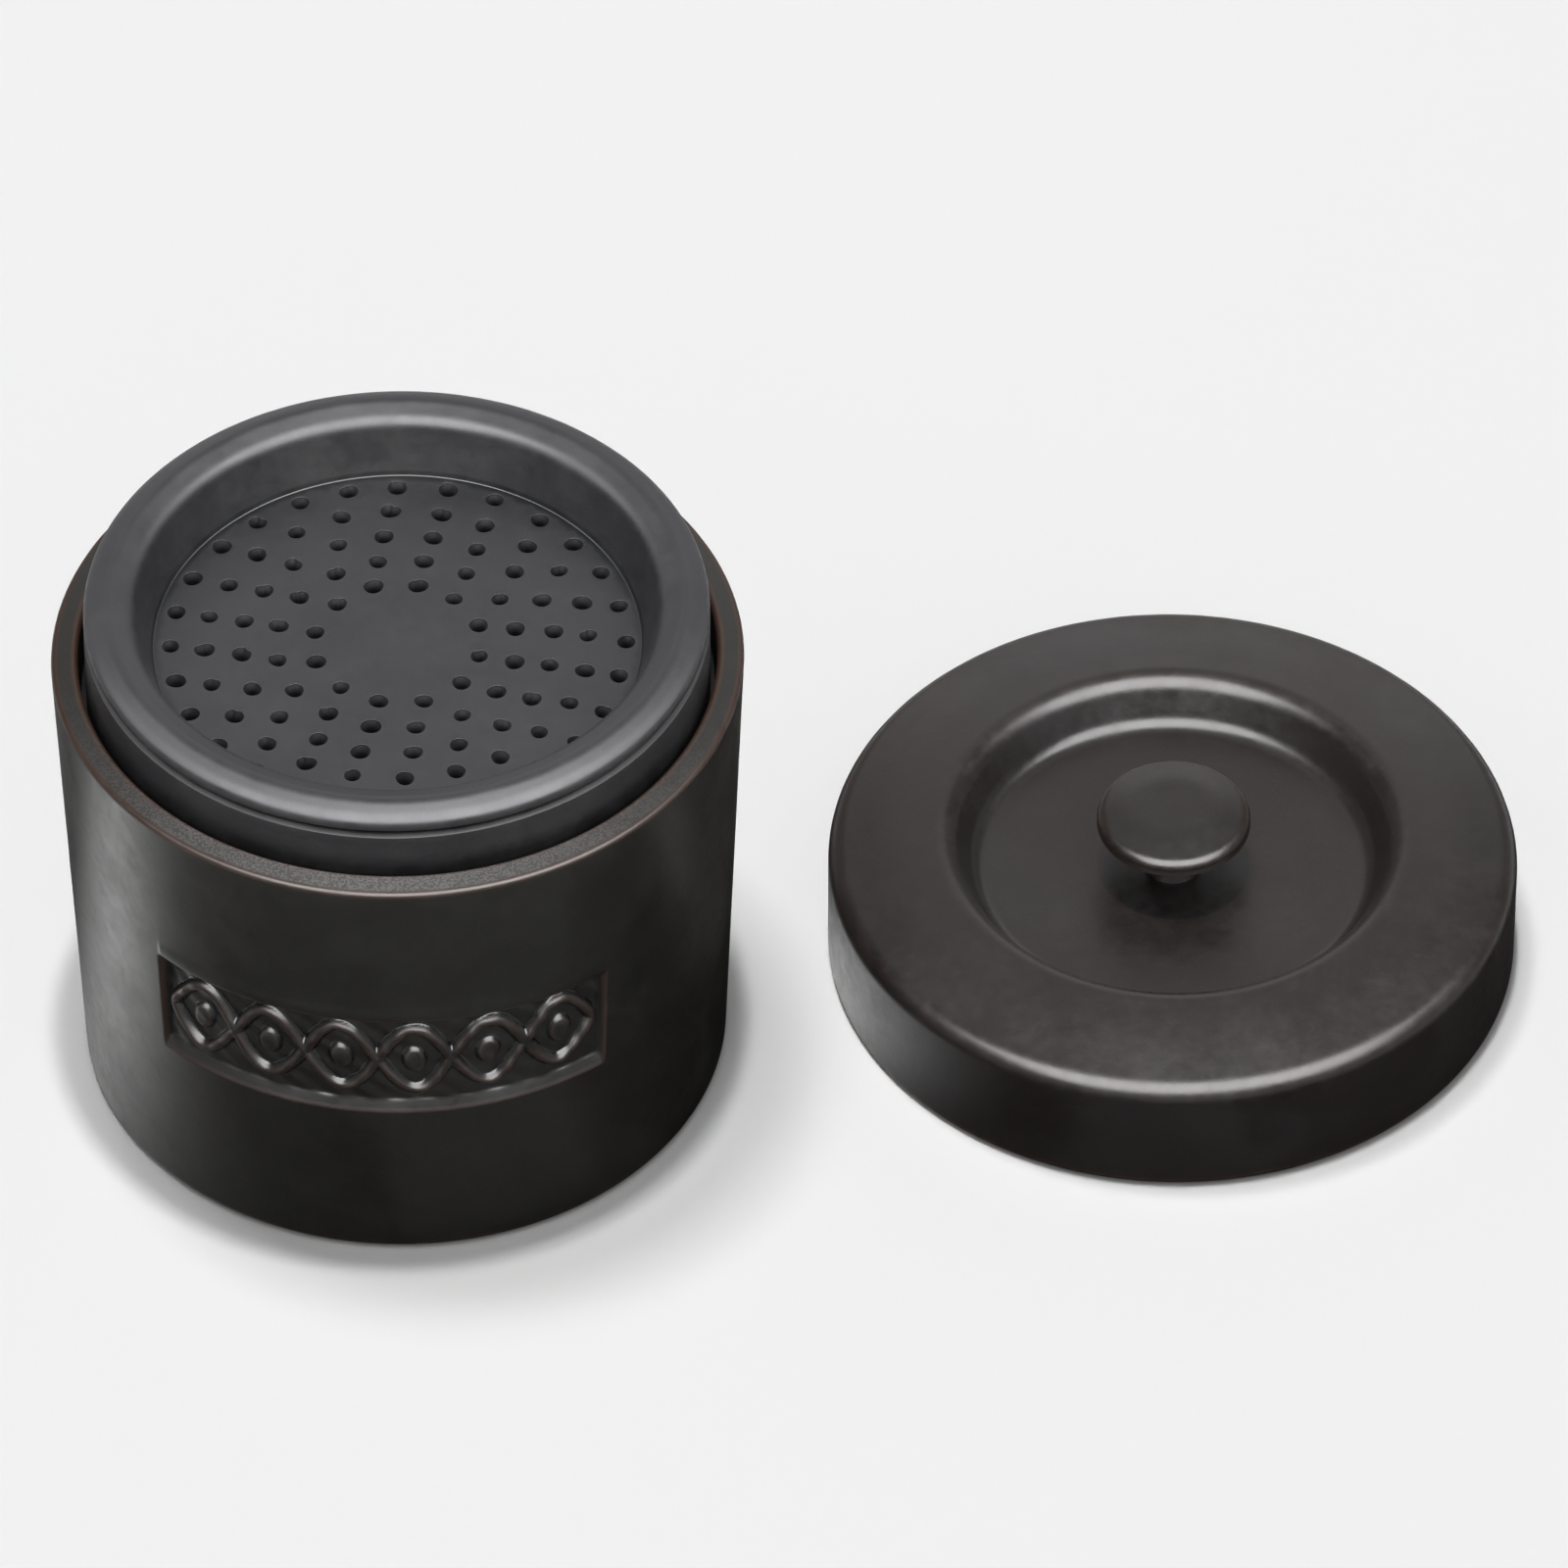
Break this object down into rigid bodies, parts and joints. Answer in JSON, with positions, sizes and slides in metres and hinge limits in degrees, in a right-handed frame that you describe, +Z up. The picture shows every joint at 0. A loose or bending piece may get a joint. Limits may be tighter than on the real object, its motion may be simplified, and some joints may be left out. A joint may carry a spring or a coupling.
{
  "type": "bacon grease container",
  "caption": "Round stoneware grease jar with a perforated strainer on a ledge in its mouth and a recessed knobbed lid, lid shown off.",
  "frame": {"origin": "centre of the crock's flat base, on the surface that the crock stands on", "axes": "+Z up along the crock's axis; -Y is the side with the label panel; the lid lies on the same surface on the +X side"},
  "size_m": [0.2446, 0.1416, 0.0988],
  "materials": {
    "crock_glaze": "satin dark stoneware glaze that breaks to rust brown on edges",
    "strainer_glaze": "satin blue-grey stoneware glaze",
    "lid_glaze": "satin dark stoneware glaze that breaks to rust brown on edges",
    "knob_glaze": "satin dark stoneware glaze that breaks to rust brown on edges"
  },
  "bodies": {
    "crock": {"crock": "crock_glaze"},
    "strainer": {"strainer": "strainer_glaze"},
    "lid": {"lid": "lid_glaze", "lid_knob": "knob_glaze"}
  },
  "joints": [
    {"name": "strainer_lift", "type": "slide", "parent": "crock", "child": "strainer", "axis": [0, 0, 1], "range_m": [0, 0.06]},
    {"name": "lid_lift", "type": "slide", "parent": "crock", "child": "lid", "axis": [0, 0, 1], "range_m": [0, 0.12]}
  ]
}
